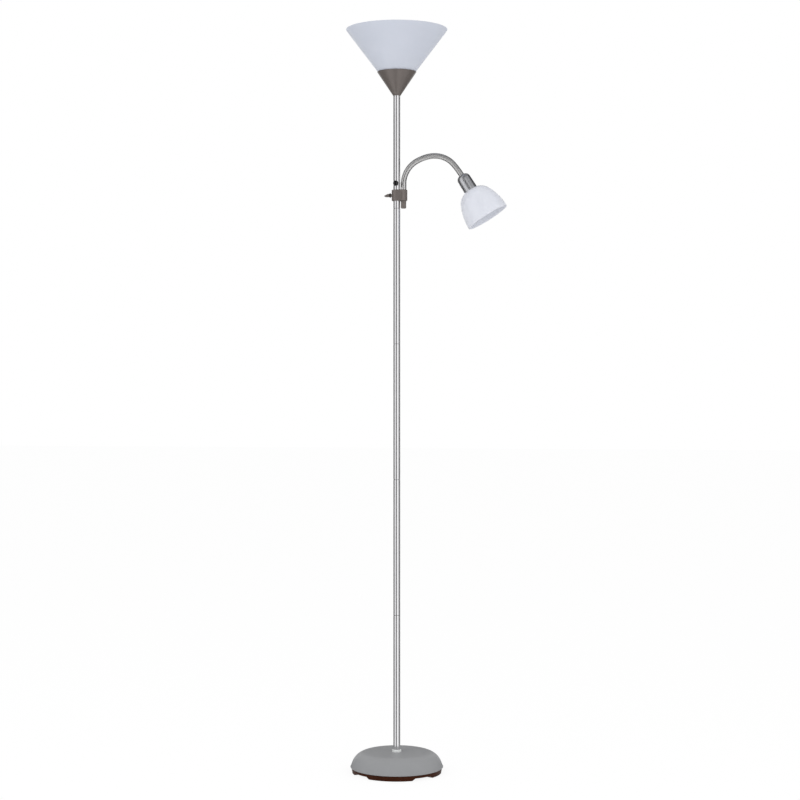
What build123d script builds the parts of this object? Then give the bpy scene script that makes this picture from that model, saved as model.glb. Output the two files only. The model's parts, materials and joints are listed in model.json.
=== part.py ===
from build123d import *
import os
from math import cos, radians, sin, sqrt, tan

# Torchiere floor lamp with a reading light on a gooseneck. Millimetres.
# +Z is up and the origin is on the floor, on the pole's axis.
# The reading arm leaves towards +X, and the front of the lamp faces -Y.

# ---------------------------------------------------------------- driving sizes
# base
base_radius = 112.5
cover_height = 49.0
cover_wall = 0.8
cover_foot = 12.6
skirt_lean = 20.0
shoulder_radius = 38.0
rim_bead = 1.1
tray_inset = 3.5
tray_wall = 2.5
tray_underside = 5.5
tray_rim_height = 10.0
foot_width = 20.0
foot_angle = 58.0
foot_slope_angle = 9.0
foot_count = 4
hub_radius = 22.0
hub_depth = 7.5
washer_radius = 17.0
washer_thickness = 1.5
collar_wall = 2.75
collar_height = 5.5
collar_ledge = 2.5

# cord inlet at the back of the base, between two feet
inlet_angle = 135.0
inlet_bore = 2.9
inlet_bush = 4.0
inlet_length = 14.0
inlet_height = 8.5
channel_slot = 6.4
channel_wall = 1.5

# pole
pole_radius = 8.25
tube_wall = 0.8
tube_length = 328.7
top_tube_length = 273.7
tube_count = 5
tube_chamfer = 0.7
plug_length = 13.0
plug_depth = 1.0
thread_radius = 4.9
thread_bore = 3.5
thread_reach = 12.0
thread_nut = 14.0
thread_nut_height = 4.0
flex_radius = 2.6

# uplight
cup_height = 57.0
cup_foot_step = 0.95
cup_rim_radius = 47.5
cup_wall = 1.0
cup_floor = 2.0
shade_height = 103.0
shade_rim_radius = 123.5
shade_wall = 1.8
shade_floor_drop = 22.0
uplight_bulb_radius = 30.0
uplight_bulb_length = 81.0

# switches
main_switch_rise = 14.8
knob_radius = 6.5
knob_length = 10.5
switch_radius = 5.0
reading_bush_radius = 2.5
spindle_radius = 2.0
key_spindle_radius = 1.4
key_length = 12.6
key_height = 7.6
key_thickness = 4.4

# clamp block
clamp_rise = 18.1
clamp_height = 26.8
clamp_wall = 4.15
clamp_tail = 3.2
clamp_edge = 1.8
clamp_boss_radius = 3.5
clamp_boss_length = 2.2
arm_wall = 3.35
shank_radius = 5.0
cap_nut_radius = 6.4
cap_nut_shoulder = 0.4
cap_nut_height = 18.3

# gooseneck: six links in a row, each with its own bend at rest
link_length = 33.2
link_bends = (29.0, 31.0, 19.0, 29.0, 31.5, 8.5)
first_bend_rise = 12.8
neck_crest = 6.75
neck_root = 6.2
neck_bore = 3.2
ribs_per_link = 7
ball_radius = 8.8
ferrule_radius = 7.0

# reading head, measured along its own axis from the top of the holder cap
holder_length = 42.0
holder_radius = 17.25
holder_draft = 0.55
holder_crown = 8.6
holder_wall = 1.0
bell_length = 78.8
bell_rim_radius = 53.8
bell_wall = 2.5
reading_bulb_radius = 22.5
reading_bulb_length = 47.0

# clearances
seat = 0.05
running = 0.08
ball_gap = 0.3
face_gap = 0.2
loose = 0.3

# ---------------------------------------------------------------- worked out
tray_radius = base_radius - tray_inset
collar_radius = pole_radius + collar_wall
collar_top = cover_height + collar_height
tube_bottom = cover_height + collar_ledge
tube_inner = pole_radius - tube_wall
joint_heights = [tube_bottom + tube_length * (n + 1) for n in range(tube_count - 1)]
pole_top = joint_heights[-1] + top_tube_length
tube_ends = [tube_bottom] + joint_heights + [pole_top]
tray_floor_top = tray_underside + tray_wall
hub_top = tray_underside + hub_depth
arm_offset = pole_radius + arm_wall + shank_radius
clamp_radius = pole_radius + clamp_wall
clamp_reach = arm_offset - clamp_tail
clamp_bottom = joint_heights[-1] + clamp_rise
clamp_top = clamp_bottom + clamp_height
reading_switch_height = clamp_bottom + clamp_height / 2
main_switch_height = clamp_top + main_switch_rise
first_bend_height = clamp_top + first_bend_rise
cup_foot_radius = pole_radius + cup_foot_step
cup_rim = pole_top + cup_height
shade_floor = cup_rim - shade_floor_drop
overall_height = cup_rim + shade_height
holder_shoulder = holder_radius - holder_draft
bell_top_radius = holder_radius - seat
front = Plane.XZ


def turn(points, plane=front, mode=Mode.ADD):
    """Turn a closed outline of (radius, height) points about the plane's up axis."""
    with BuildSketch(plane) as outline:
        with BuildLine():
            Polyline(*points, close=True)
        make_face()
    revolve(outline.sketch, axis=Axis(plane.origin, plane.y_dir), mode=mode)


def sleeve(inner, outer, low, high, plane=front, mode=Mode.ADD):
    """A plain turned ring or tube."""
    turn([(inner, low), (outer, low), (outer, high), (inner, high)], plane, mode)


def finish(part, name):
    """Label a finished piece and write it."""
    part.label = name
    export_step(part, f"parts/{name}.step")
    print(f"{name}: {len(part.solids())} solid(s), {part.volume / 1000:.2f} cm3")


os.makedirs("parts", exist_ok=True)

# ---------------------------------------------------------------- base
# The cover's outline: a flat top, a round shoulder, a leaning skirt and a rolled edge.
bead_height = cover_foot + 2 * rim_bead
skirt_foot = base_radius - rim_bead
shoulder_turn = 90 - skirt_lean
skirt_run = (
    cover_height - bead_height - shoulder_radius * (1 - cos(radians(shoulder_turn)))
) * tan(radians(skirt_lean))
shoulder_start = skirt_foot - skirt_run - shoulder_radius * sin(radians(shoulder_turn))


def shoulder_point(inset, angle):
    """A point of the shoulder this far inside the outer face, at this angle from upright."""
    radius = shoulder_radius - inset
    return (
        shoulder_start + radius * sin(radians(angle)),
        cover_height - shoulder_radius + radius * cos(radians(angle)),
    )


def cover_inside(inset, low):
    """The space under the cover, this far inside its outer face, down to the height low."""
    steps = 3
    shoulder = [shoulder_point(inset, shoulder_turn * n / steps) for n in range(steps + 1)]
    end_radius, end_height = shoulder[-1]
    foot_radius = end_radius + (end_height - low) * tan(radians(skirt_lean))
    return [(0, cover_height - inset)] + shoulder + [(foot_radius, low), (0, low)]


with BuildPart() as base_cover:
    with BuildSketch(front):
        with BuildLine():
            crown = Line((0, cover_height), shoulder_point(0, 0))
            shoulder = ThreePointArc(
                crown @ 1, shoulder_point(0, shoulder_turn / 2), shoulder_point(0, shoulder_turn)
            )
            Polyline(
                shoulder @ 1,
                (skirt_foot, bead_height),
                (base_radius - rim_bead * 0.3, bead_height - rim_bead * 0.3),
                (base_radius, bead_height - rim_bead),
                (base_radius - rim_bead * 0.3, cover_foot + rim_bead * 0.3),
                (skirt_foot, cover_foot),
                (0, cover_foot),
                (0, cover_height),
            )
        make_face()
    revolve(axis=Axis.Z)
    turn(cover_inside(cover_wall, cover_foot - rim_bead), mode=Mode.SUBTRACT)
    sleeve(0, thread_radius + seat, 0, overall_height, mode=Mode.SUBTRACT)
finish(base_cover.part, "base_cover")

# The cord lies in one straight channel from the hub out to the inlet bush.
inlet_x, inlet_y = cos(radians(inlet_angle)), sin(radians(inlet_angle))
channel_plane = Plane(origin=(0, 0, inlet_height), x_dir=(0, 0, 1), z_dir=(inlet_x, inlet_y, 0))
inlet_plane = Plane(origin=(0, 0, inlet_height), x_dir=(0, 0, 1), z_dir=(-inlet_y, inlet_x, 0))
channel_radius = inlet_bush + channel_wall
weight_bottom = tray_floor_top + face_gap
weight_hub = hub_top + tray_wall + face_gap
weight_radius = tray_radius - tray_wall - loose

with BuildPart() as base_weight:
    turn(cover_inside(cover_wall + face_gap, weight_bottom))
    sleeve(weight_radius, base_radius + 5, 0, weight_bottom + tray_rim_height, mode=Mode.SUBTRACT)
    sleeve(0, hub_radius + tray_wall + loose, 0, weight_hub, mode=Mode.SUBTRACT)
    sleeve(0, thread_radius + seat, 0, overall_height, mode=Mode.SUBTRACT)
    with BuildSketch(channel_plane):
        Circle(channel_radius + loose)
    extrude(amount=base_radius, mode=Mode.SUBTRACT)
finish(base_weight.part, "base_weight")


def foot_outline(angle, centre):
    """A slice of the foot ring, this many degrees wide."""
    outer = tray_radius - 1
    inner = outer - foot_width
    a, b = radians(centre - angle / 2), radians(centre + angle / 2)
    middle = radians(centre)
    ThreePointArc(
        (outer * cos(a), outer * sin(a)),
        (outer * cos(middle), outer * sin(middle)),
        (outer * cos(b), outer * sin(b)),
    )
    Line((outer * cos(b), outer * sin(b)), (inner * cos(b), inner * sin(b)))
    ThreePointArc(
        (inner * cos(b), inner * sin(b)),
        (inner * cos(middle), inner * sin(middle)),
        (inner * cos(a), inner * sin(a)),
    )
    Line((inner * cos(a), inner * sin(a)), (outer * cos(a), outer * sin(a)))


with BuildPart() as base_tray:
    sleeve(thread_radius + seat, tray_radius, tray_underside, tray_floor_top)
    sleeve(
        tray_radius - tray_wall, tray_radius, tray_underside, tray_underside + tray_rim_height
    )
    sleeve(thread_radius + seat, hub_radius + tray_wall, tray_underside, hub_top + tray_wall)
    sleeve(0, hub_radius, 0, hub_top, mode=Mode.SUBTRACT)
    for foot in range(foot_count):
        centre = 360 / foot_count * foot
        with BuildSketch(Plane.XY):
            with BuildLine():
                foot_outline(foot_angle, centre)
            make_face()
        with BuildSketch(Plane.XY.offset(tray_underside)):
            with BuildLine():
                foot_outline(foot_angle + foot_slope_angle, centre)
            make_face()
        loft(ruled=True)
    with BuildSketch(channel_plane.offset(hub_radius)):
        Circle(channel_radius)
        with Locations(((tray_underside - inlet_height) / 2, 0)):
            Rectangle(inlet_height - tray_underside, 2 * channel_radius)
        with Locations((tray_underside - inlet_height - channel_radius, 0)):
            Rectangle(2 * channel_radius, 4 * channel_radius, mode=Mode.SUBTRACT)
    extrude(amount=sqrt(tray_radius**2 - channel_radius**2) - hub_radius)
    with BuildSketch(channel_plane):
        Circle(inlet_bush)
        with Locations((-inlet_height / 2, 0)):
            Rectangle(inlet_height, channel_slot)
    extrude(amount=base_radius, mode=Mode.SUBTRACT)
finish(base_tray.part, "base_tray")

# The inlet bush fills the channel's mouth and stands a little way out of the rim.
with BuildPart() as cord_grommet:
    bush = inlet_bush - seat
    turn(
        [
            (inlet_bore, tray_radius + 1 - inlet_length),
            (bush, tray_radius + 1 - inlet_length),
            (bush, tray_radius),
            (inlet_bore + 0.8, tray_radius + 1),
            (inlet_bore, tray_radius + 1),
        ],
        inlet_plane,
    )
finish(cord_grommet.part, "cord_grommet")

with BuildPart() as base_collar:
    turn(
        [
            (thread_radius + seat, cover_height),
            (collar_radius, cover_height),
            (collar_radius, collar_top - 1.2),
            (collar_radius - 1.2, collar_top),
            (pole_radius + seat, collar_top),
            (pole_radius + seat, tube_bottom),
            (thread_radius + seat, tube_bottom),
        ]
    )
finish(base_collar.part, "base_collar")

stem_bottom = hub_top - washer_thickness - 1.5 * thread_nut_height
with BuildPart() as base_stem:
    sleeve(thread_bore, thread_radius, stem_bottom, tube_bottom + thread_reach)
finish(base_stem.part, "base_stem")

with BuildPart() as base_washer:
    sleeve(thread_radius + seat, washer_radius, hub_top - washer_thickness, hub_top)
finish(base_washer.part, "base_washer")

with BuildPart() as base_nut:
    with BuildSketch(Plane.XY.offset(hub_top - washer_thickness)):
        RegularPolygon(thread_nut / 2, 6, major_radius=False)
        Circle(thread_radius + seat, mode=Mode.SUBTRACT)
    extrude(amount=-thread_nut_height)
finish(base_nut.part, "base_nut")

# ---------------------------------------------------------------- pole
knob_plane = Plane(origin=(0, 0, main_switch_height), x_dir=(1, 0, 0), z_dir=(0, 0, -1))
key_plane = Plane(origin=(0, 0, reading_switch_height), x_dir=(0, 1, 0), z_dir=(0, 0, 1))
main_bush_radius = 4.0

for number in range(tube_count):
    low, high = tube_ends[number], tube_ends[number + 1]
    with BuildPart() as pole_tube:
        turn(
            [
                (tube_inner, low),
                (pole_radius - tube_chamfer, low),
                (pole_radius, low + tube_chamfer),
                (pole_radius, high - tube_chamfer),
                (pole_radius - tube_chamfer, high),
                (tube_inner, high),
            ]
        )
        if number == tube_count - 1:
            sleeve(0, main_bush_radius + seat, 0, 2 * pole_radius, knob_plane, Mode.SUBTRACT)
            sleeve(0, reading_bush_radius + seat, 0, 2 * pole_radius, key_plane, Mode.SUBTRACT)
            sleeve(0, neck_bore, -2 * pole_radius, 0, key_plane, Mode.SUBTRACT)
    finish(pole_tube.part, f"pole_tube_{number + 1}")

# Each tube has a threaded plug in its top end, and the first has one in its foot too.
plug_radius = tube_inner - seat
plug_bottoms = [tube_bottom + plug_depth]
plug_bottoms += [height - plug_depth - plug_length for height in joint_heights + [pole_top]]
with BuildPart() as pole_plugs:
    for low in plug_bottoms:
        sleeve(thread_radius + seat, plug_radius, low, low + plug_length)
finish(pole_plugs.part, "pole_plugs")

# Each tube above the first has a hollow stud in its foot, which screws into the plug below.
with BuildPart() as pole_studs:
    for height in joint_heights:
        turn(
            [
                (thread_bore, height - thread_reach),
                (thread_radius, height - thread_reach),
                (thread_radius, height + plug_depth),
                (plug_radius, height + plug_depth),
                (plug_radius, height + plug_depth + plug_length),
                (thread_bore, height + plug_depth + plug_length),
            ]
        )
finish(pole_studs.part, "pole_studs")

# ---------------------------------------------------------------- uplight
cup_slope = (cup_rim_radius - cup_foot_radius) / cup_height
cup_wall_across = cup_wall * sqrt(1 + cup_slope**2)
with BuildPart() as uplight_cup:
    turn(
        [
            (thread_radius + seat, pole_top),
            (cup_foot_radius, pole_top),
            (cup_rim_radius, cup_rim),
            (cup_rim_radius - cup_wall_across, cup_rim),
            (cup_foot_radius + cup_slope * cup_floor - cup_wall_across, pole_top + cup_floor),
            (thread_radius + seat, pole_top + cup_floor),
        ]
    )
finish(uplight_cup.part, "uplight_cup")

nut_top = pole_top + cup_floor + thread_nut_height
with BuildPart() as uplight_nut:
    with BuildSketch(Plane.XY.offset(pole_top + cup_floor)):
        RegularPolygon(thread_nut / 2, 6, major_radius=False)
        Circle(thread_radius + seat, mode=Mode.SUBTRACT)
    extrude(amount=thread_nut_height)
finish(uplight_nut.part, "uplight_nut")

holder_entry = 8.0
with BuildPart() as uplight_nipple:
    sleeve(thread_bore, thread_radius, pole_top - thread_reach, nut_top + holder_entry)
finish(uplight_nipple.part, "uplight_nipple")

# The E27 lampholder: a stepped body, a flange under the shade's floor and a threaded skirt.
skirt_radius = 19.6
socket_radius = 15.5
cone_radius = socket_radius - 1.5
holder_mouth = shade_floor + 19.0
socket_floor = nut_top + holder_entry + 12.0
with BuildPart() as uplight_lampholder:
    turn(
        [
            (thread_radius + seat, nut_top + 0.5),
            (8.5, nut_top + 0.5),
            (9.5, nut_top + 4),
            (socket_radius + 1, nut_top + 12),
            (socket_radius + 2, socket_floor),
            (skirt_radius, socket_floor + 2),
            (23.0, shade_floor - 2),
            (23.0, shade_floor),
            (skirt_radius, shade_floor),
            (skirt_radius, holder_mouth),
            (socket_radius, holder_mouth),
            (socket_radius, socket_floor),
            (thread_bore, socket_floor),
            (thread_bore, nut_top + holder_entry),
            (thread_radius + seat, nut_top + holder_entry),
        ]
    )
finish(uplight_lampholder.part, "uplight_lampholder")

with BuildPart() as uplight_socket_shell:
    sleeve(cone_radius - 0.4, cone_radius, socket_floor + seat, holder_mouth - 2)
    sleeve(cone_radius - 3, cone_radius, socket_floor + seat, socket_floor + 0.6)
finish(uplight_socket_shell.part, "uplight_socket_shell")

with BuildPart() as uplight_socket_contact:
    sleeve(0, 5.0, socket_floor + seat, socket_floor + 1.5)
finish(uplight_socket_contact.part, "uplight_socket_contact")

shade_slope = (shade_rim_radius - cup_rim_radius + cup_wall_across) / shade_height
shade_wall_across = shade_wall * sqrt(1 + shade_slope**2)
shade_floor_radius = shade_rim_radius - shade_slope * (overall_height - shade_floor) - loose
with BuildPart() as uplight_shade:
    turn(
        [
            (skirt_radius + loose, shade_floor),
            (shade_floor_radius, shade_floor),
            (shade_rim_radius - loose, overall_height - 1.0),
            (shade_rim_radius - 0.8, overall_height),
            (shade_rim_radius - shade_wall_across, overall_height),
            (
                shade_floor_radius + shade_slope * shade_wall - shade_wall_across,
                shade_floor + shade_wall,
            ),
            (skirt_radius + loose, shade_floor + shade_wall),
        ]
    )
finish(uplight_shade.part, "uplight_shade")

with BuildPart() as uplight_shade_ring:
    turn(
        [
            (skirt_radius + seat, shade_floor + shade_wall),
            (25.0, shade_floor + shade_wall),
            (25.0, shade_floor + shade_wall + 1.5),
            (22.0, shade_floor + shade_wall + 1.5),
            (22.0, shade_floor + shade_wall + 8),
            (skirt_radius + seat, shade_floor + shade_wall + 8),
        ]
    )
finish(uplight_shade_ring.part, "uplight_shade_ring")


def bulb_base(plane, low, high, radius):
    """A screw cap with its centre contact, from the contact's tip up to the glass."""
    turn(
        [
            (0, low),
            (radius * 0.35, low),
            (radius * 0.4, low + 1.5),
            (radius * 0.9, low + 3.5),
            (radius, low + 4.5),
            (radius, high),
            (0, high),
        ],
        plane,
    )


def bulb_glass(plane, low, neck, bulge, length, wall):
    """A thin glass envelope: a flared neck into a round bulb, open at the neck."""
    centre = low + length - bulge
    steps = 7
    angles = [radians(90 - 140 * n / steps) for n in range(steps + 1)]
    outer = [(bulge * cos(a), centre + bulge * sin(a)) for a in angles]
    inner = [((bulge - wall) * cos(a), centre + (bulge - wall) * sin(a)) for a in angles]
    foot = [(neck, low + 2), (neck, low), (neck - wall, low), (neck - wall, low + 2)]
    outer[0], inner[0] = (0, centre + bulge), (0, centre + bulge - wall)
    turn(outer + foot + inner[::-1], plane)


with BuildPart() as uplight_bulb_base:
    bulb_base(front, socket_floor + 1.8, holder_mouth + 1, cone_radius - 0.8)
finish(uplight_bulb_base.part, "uplight_bulb_base")

with BuildPart() as uplight_bulb_glass:
    bulb_glass(
        front, holder_mouth + 1, cone_radius - 0.2, uplight_bulb_radius, uplight_bulb_length, 0.8
    )
finish(uplight_bulb_glass.part, "uplight_bulb_glass")

# ---------------------------------------------------------------- main switch
# The switch sits inside the pole. Its bush comes out at the front through a nut.
main_nut_back = pole_radius + seat
main_nut_front = main_nut_back + 2.0
knob_back = main_nut_back + 1.0
knob_front = knob_back + knob_length
with BuildPart() as main_switch_body:
    sleeve(0, switch_radius, -switch_radius + 0.2, switch_radius, knob_plane)
    sleeve(0, main_bush_radius, switch_radius, main_nut_front + 0.8, knob_plane)
    sleeve(0, spindle_radius + running, 0, 2 * knob_front, knob_plane, Mode.SUBTRACT)
finish(main_switch_body.part, "main_switch_body")

with BuildPart() as main_switch_spindle:
    sleeve(0, spindle_radius, face_gap, main_nut_front + 4.0, knob_plane)
finish(main_switch_spindle.part, "main_switch_spindle")

with BuildPart() as main_switch_nut:
    with BuildSketch(Plane.XZ.offset(main_nut_back)):
        with Locations((0, main_switch_height)):
            RegularPolygon(main_bush_radius + 0.8, 6, major_radius=False)
            Circle(main_bush_radius + seat, mode=Mode.SUBTRACT)
    extrude(amount=main_nut_front - main_nut_back)
finish(main_switch_nut.part, "main_switch_nut")

with BuildPart() as main_switch_knob:
    with BuildSketch(knob_plane) as knob_outline:
        with BuildLine():
            Polyline((0, knob_back + 3.5), (0, knob_front))
            ThreePointArc(
                (0, knob_front),
                (knob_radius * 0.6, knob_front - 0.7),
                (knob_radius - 0.5, knob_front - 2.4),
            )
            Polyline(
                (knob_radius - 0.5, knob_front - 2.4),
                (knob_radius, knob_front - 3.4),
                (knob_radius, knob_back),
                (knob_radius - 0.7, knob_back),
                (knob_radius - 0.7, knob_back + 3.5),
                (0, knob_back + 3.5),
            )
        make_face()
    revolve(axis=Axis(knob_plane.origin, knob_plane.y_dir))
    sleeve(0, spindle_radius + seat, 0, main_nut_front + 4.0, knob_plane, Mode.SUBTRACT)
finish(main_switch_knob.part, "main_switch_knob")

# ---------------------------------------------------------------- clamp and reading switch
arm_plane = Plane(origin=(arm_offset, 0, 0), x_dir=(1, 0, 0), z_dir=(0, -1, 0))
with BuildPart() as clamp_body:
    with BuildSketch(Plane.XY.offset(clamp_bottom)):
        with BuildLine():
            Line((0, -clamp_radius), (clamp_reach, -clamp_radius))
            ThreePointArc(
                (clamp_reach, -clamp_radius), (clamp_reach + clamp_radius, 0), (clamp_reach, clamp_radius)
            )
            Line((clamp_reach, clamp_radius), (0, clamp_radius))
            ThreePointArc((0, clamp_radius), (-clamp_radius, 0), (0, -clamp_radius))
        make_face()
    extrude(amount=clamp_height)
    ends = clamp_body.faces().filter_by(Axis.Z)
    fillet(ends.edges(), clamp_edge)
    sleeve(0, clamp_boss_radius, 0, clamp_radius + clamp_boss_length, key_plane)
    sleeve(0, pole_radius + seat, 0, overall_height, mode=Mode.SUBTRACT)
    sleeve(0, shank_radius + running, 0, overall_height, arm_plane, Mode.SUBTRACT)
    sleeve(0, reading_bush_radius + seat, 0, 3 * clamp_radius, key_plane, Mode.SUBTRACT)
    sleeve(0, neck_bore, -arm_offset, 0, key_plane, Mode.SUBTRACT)
finish(clamp_body.part, "clamp_body")

boss_end = clamp_radius + clamp_boss_length
reading_nut_end = boss_end + 3.0
key_back = reading_nut_end + loose
key_tip = key_back + key_length
with BuildPart() as reading_switch_body:
    sleeve(0, switch_radius, -switch_radius + 0.2, switch_radius, key_plane)
    sleeve(0, reading_bush_radius, switch_radius, reading_nut_end, key_plane)
    sleeve(0, key_spindle_radius + running, 0, 2 * key_tip, key_plane, Mode.SUBTRACT)
finish(reading_switch_body.part, "reading_switch_body")

with BuildPart() as reading_switch_spindle:
    sleeve(0, key_spindle_radius, face_gap, key_back + 5.0, key_plane)
finish(reading_switch_spindle.part, "reading_switch_spindle")

with BuildPart() as reading_switch_nut:
    turn(
        [
            (reading_bush_radius + seat, boss_end),
            (4.6, boss_end),
            (5.8, boss_end + 0.9),
            (5.8, reading_nut_end - 0.9),
            (4.6, reading_nut_end),
            (reading_bush_radius + seat, reading_nut_end),
        ],
        key_plane,
    )
finish(reading_switch_nut.part, "reading_switch_nut")

# The key's blade: a flat paddle whose upper edge falls towards the tip.
blade_plane = Plane(origin=(0, 0, reading_switch_height), x_dir=(-1, 0, 0), z_dir=(0, 1, 0))
with BuildPart() as reading_switch_key:
    with BuildSketch(blade_plane):
        with BuildLine():
            Polyline(
                (key_back, -key_height / 2),
                (key_back, key_height / 2),
                (key_back + key_length * 0.35, key_height / 2),
                (key_tip - 0.8, 0.2),
            )
            ThreePointArc((key_tip - 0.8, 0.2), (key_tip, -1.4), (key_tip - 1.2, -2.8))
            Polyline(
                (key_tip - 1.2, -2.8),
                (key_back + key_length * 0.7, -key_height / 2),
                (key_back, -key_height / 2),
            )
        make_face()
    extrude(amount=key_thickness / 2, both=True)
    fillet(reading_switch_key.edges().filter_by(Axis.Y, reverse=True), 0.6)
    sleeve(0, key_spindle_radius + seat, 0, key_back + 5.0, key_plane, Mode.SUBTRACT)
finish(reading_switch_key.part, "reading_switch_key")

# ---------------------------------------------------------------- wiring inside the pole
flex_runs = {
    "mains_flex": (stem_bottom, reading_switch_height - switch_radius - loose),
    "switch_flex": (
        reading_switch_height + switch_radius + loose,
        main_switch_height - switch_radius - loose,
    ),
    "uplight_flex": (main_switch_height + switch_radius + loose, socket_floor - loose),
}
for name, (low, high) in flex_runs.items():
    with BuildPart() as flex:
        sleeve(0, flex_radius, low, high)
    finish(flex.part, name)


# ---------------------------------------------------------------- gooseneck
def neck_point(along):
    """Where the neck's centre line is, this far past its first bend: (x, z, heading)."""
    x, z, heading = arm_offset, first_bend_height, 0.0
    for bend in link_bends:
        step = min(along, link_length)
        curve = radians(bend) / link_length
        after = heading + curve * step
        x += (cos(heading) - cos(after)) / curve
        z += (sin(after) - sin(heading)) / curve
        heading = after
        along -= step
    return x + along * sin(heading), z + along * cos(heading), heading


def neck_section(along):
    """The plane square to the neck, with its X axis steady along Y."""
    x, z, heading = neck_point(along)
    return Plane(origin=(x, 0, z), x_dir=(0, 1, 0), z_dir=(sin(heading), 0, cos(heading)))


def neck_turning(along):
    """The plane for outlines turned about the neck's own direction."""
    x, z, heading = neck_point(along)
    return Plane(origin=(x, 0, z), x_dir=(0, 1, 0), z_dir=(cos(heading), 0, -sin(heading)))


def trim_to_ball(along):
    """Cut what lies past the ball about this bend, so that the next link can turn on it."""
    plane = neck_turning(along)
    slope = radians(45)
    with BuildSketch(plane) as outline:
        with BuildLine():
            ThreePointArc(
                (ball_radius, 0),
                (ball_radius * cos(slope), ball_radius * sin(slope)),
                (0, ball_radius),
            )
            Polyline(
                (0, ball_radius),
                (0, 3 * ball_radius),
                (2 * ball_radius, 3 * ball_radius),
                (2 * ball_radius, 0),
                (ball_radius, 0),
            )
        make_face()
    revolve(outline.sketch, axis=Axis(plane.origin, plane.y_dir), mode=Mode.SUBTRACT)


def neck_wire_way(start, end, tail):
    """Cut the bore that the wire runs in along the neck, and on through a straight tail."""
    steps = 5
    places = [start + (end - start) * step / steps for step in range(steps + 1)]
    if tail:
        places.append(end + tail)
    rings = []
    for place in places:
        with BuildSketch(neck_section(place)) as ring:
            Circle(neck_bore)
        rings.append(ring.sketch)
    loft(rings, ruled=True, mode=Mode.SUBTRACT)


with BuildPart() as neck_ferrule:
    turn(
        [
            (neck_bore, clamp_bottom - cap_nut_height + 3),
            (shank_radius, clamp_bottom - cap_nut_height + 3),
            (shank_radius, clamp_top + face_gap),
            (ferrule_radius, clamp_top + face_gap),
            (ferrule_radius, first_bend_height + ball_radius),
            (neck_bore, first_bend_height + ball_radius),
        ],
        arm_plane,
    )
    trim_to_ball(0)
    sleeve(0, neck_bore, -arm_offset, 0, key_plane, Mode.SUBTRACT)
finish(neck_ferrule.part, "neck_ferrule")

with BuildPart() as neck_cap_nut:
    nut_foot = clamp_bottom - cap_nut_height
    turn(
        [
            (0, nut_foot),
            (cap_nut_radius - 1.2, nut_foot),
            (cap_nut_radius, nut_foot + 1.2),
            (cap_nut_radius, clamp_bottom - 1.9),
            (cap_nut_radius + cap_nut_shoulder, clamp_bottom - 1.9),
            (cap_nut_radius + cap_nut_shoulder, clamp_bottom - face_gap),
            (shank_radius + seat, clamp_bottom - face_gap),
            (shank_radius + seat, nut_foot + 2.5),
            (0, nut_foot + 2.5),
        ],
        arm_plane,
    )
finish(neck_cap_nut.part, "neck_cap_nut")

# The ribs of the neck: each runs up from its root to a flat crest and down again.
rib_pitch = link_length / ribs_per_link
rib_shape = ((0.0, neck_root), (0.25, neck_crest), (0.65, neck_crest), (0.9, neck_root))
neck_length = link_length * len(link_bends)
link_count = len(link_bends)
tail_length = 21.0
for number in range(link_count):
    start = number * link_length
    is_last = number == link_count - 1
    ribs = ribs_per_link + (0 if is_last else int(ball_radius / rib_pitch) + 1)
    with BuildPart() as neck_segment:
        for rib in range(ribs):
            for share, radius in rib_shape:
                with BuildSketch(neck_section(start + (rib + share) * rib_pitch)):
                    Circle(radius)
        if is_last:
            with BuildSketch(neck_section(neck_length)):
                Circle(neck_root)
        loft(ruled=True)
        if is_last:
            tail_plane = neck_turning(neck_length)
            sleeve(0, thread_radius, -rib_pitch / 2, tail_length, tail_plane)
            neck_wire_way(start, neck_length, tail_length)
        else:
            neck_wire_way(start, start + ribs * rib_pitch, 0)
            trim_to_ball(start + link_length)
        with Locations(neck_section(start).origin):
            Sphere(ball_radius + ball_gap, mode=Mode.SUBTRACT)
    finish(neck_segment.part, f"neck_segment_{number + 1}")

# ---------------------------------------------------------------- reading head
head = neck_turning(neck_length)

with BuildPart() as holder_cap:
    with BuildSketch(head):
        with BuildLine() as cap_line:
            crown = Line((thread_radius + seat, 0), (holder_crown, 0))
            dome = ThreePointArc(crown @ 1, (13.6, 3.4), (holder_shoulder, 11.0))
            Line(dome @ 1, (holder_radius, holder_length - seat))
            offset(cap_line.line, amount=holder_wall, side=Side.LEFT, closed=True)
        make_face()
    revolve(axis=Axis(head.origin, head.y_dir))
finish(holder_cap.part, "holder_cap")

with BuildPart() as neck_end_nut:
    with BuildSketch(neck_section(neck_length + holder_wall + seat)):
        RegularPolygon(thread_nut / 2, 6, major_radius=False)
        Circle(thread_radius + seat, mode=Mode.SUBTRACT)
    extrude(amount=thread_nut_height)
finish(neck_end_nut.part, "neck_end_nut")

# The E14 lampholder: a body inside the cap and a threaded skirt through the shade's hole.
small_skirt = 14.2
small_socket = 9.5
small_cone = 7.6
small_floor = 25.0
small_mouth = holder_length + 11.0
small_entry = 9.0
with BuildPart() as reading_lampholder:
    turn(
        [
            (thread_radius + seat, small_entry),
            (11.0, small_entry),
            (13.4, small_entry + 6),
            (13.4, holder_length - 2),
            (small_skirt, holder_length - 1),
            (small_skirt, small_mouth),
            (small_socket, small_mouth),
            (small_socket, small_floor),
            (thread_bore, small_floor),
            (thread_bore, tail_length + 1),
            (thread_radius + seat, tail_length + 1),
        ],
        head,
    )
finish(reading_lampholder.part, "reading_lampholder")

with BuildPart() as reading_socket_shell:
    sleeve(small_cone - 0.4, small_cone, small_floor + seat, small_mouth - 2, head)
    sleeve(small_cone - 2, small_cone, small_floor + seat, small_floor + 0.6, head)
finish(reading_socket_shell.part, "reading_socket_shell")

with BuildPart() as reading_socket_contact:
    sleeve(0, 4.2, small_floor + seat, small_floor + 1.5, head)
finish(reading_socket_contact.part, "reading_socket_contact")

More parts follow.
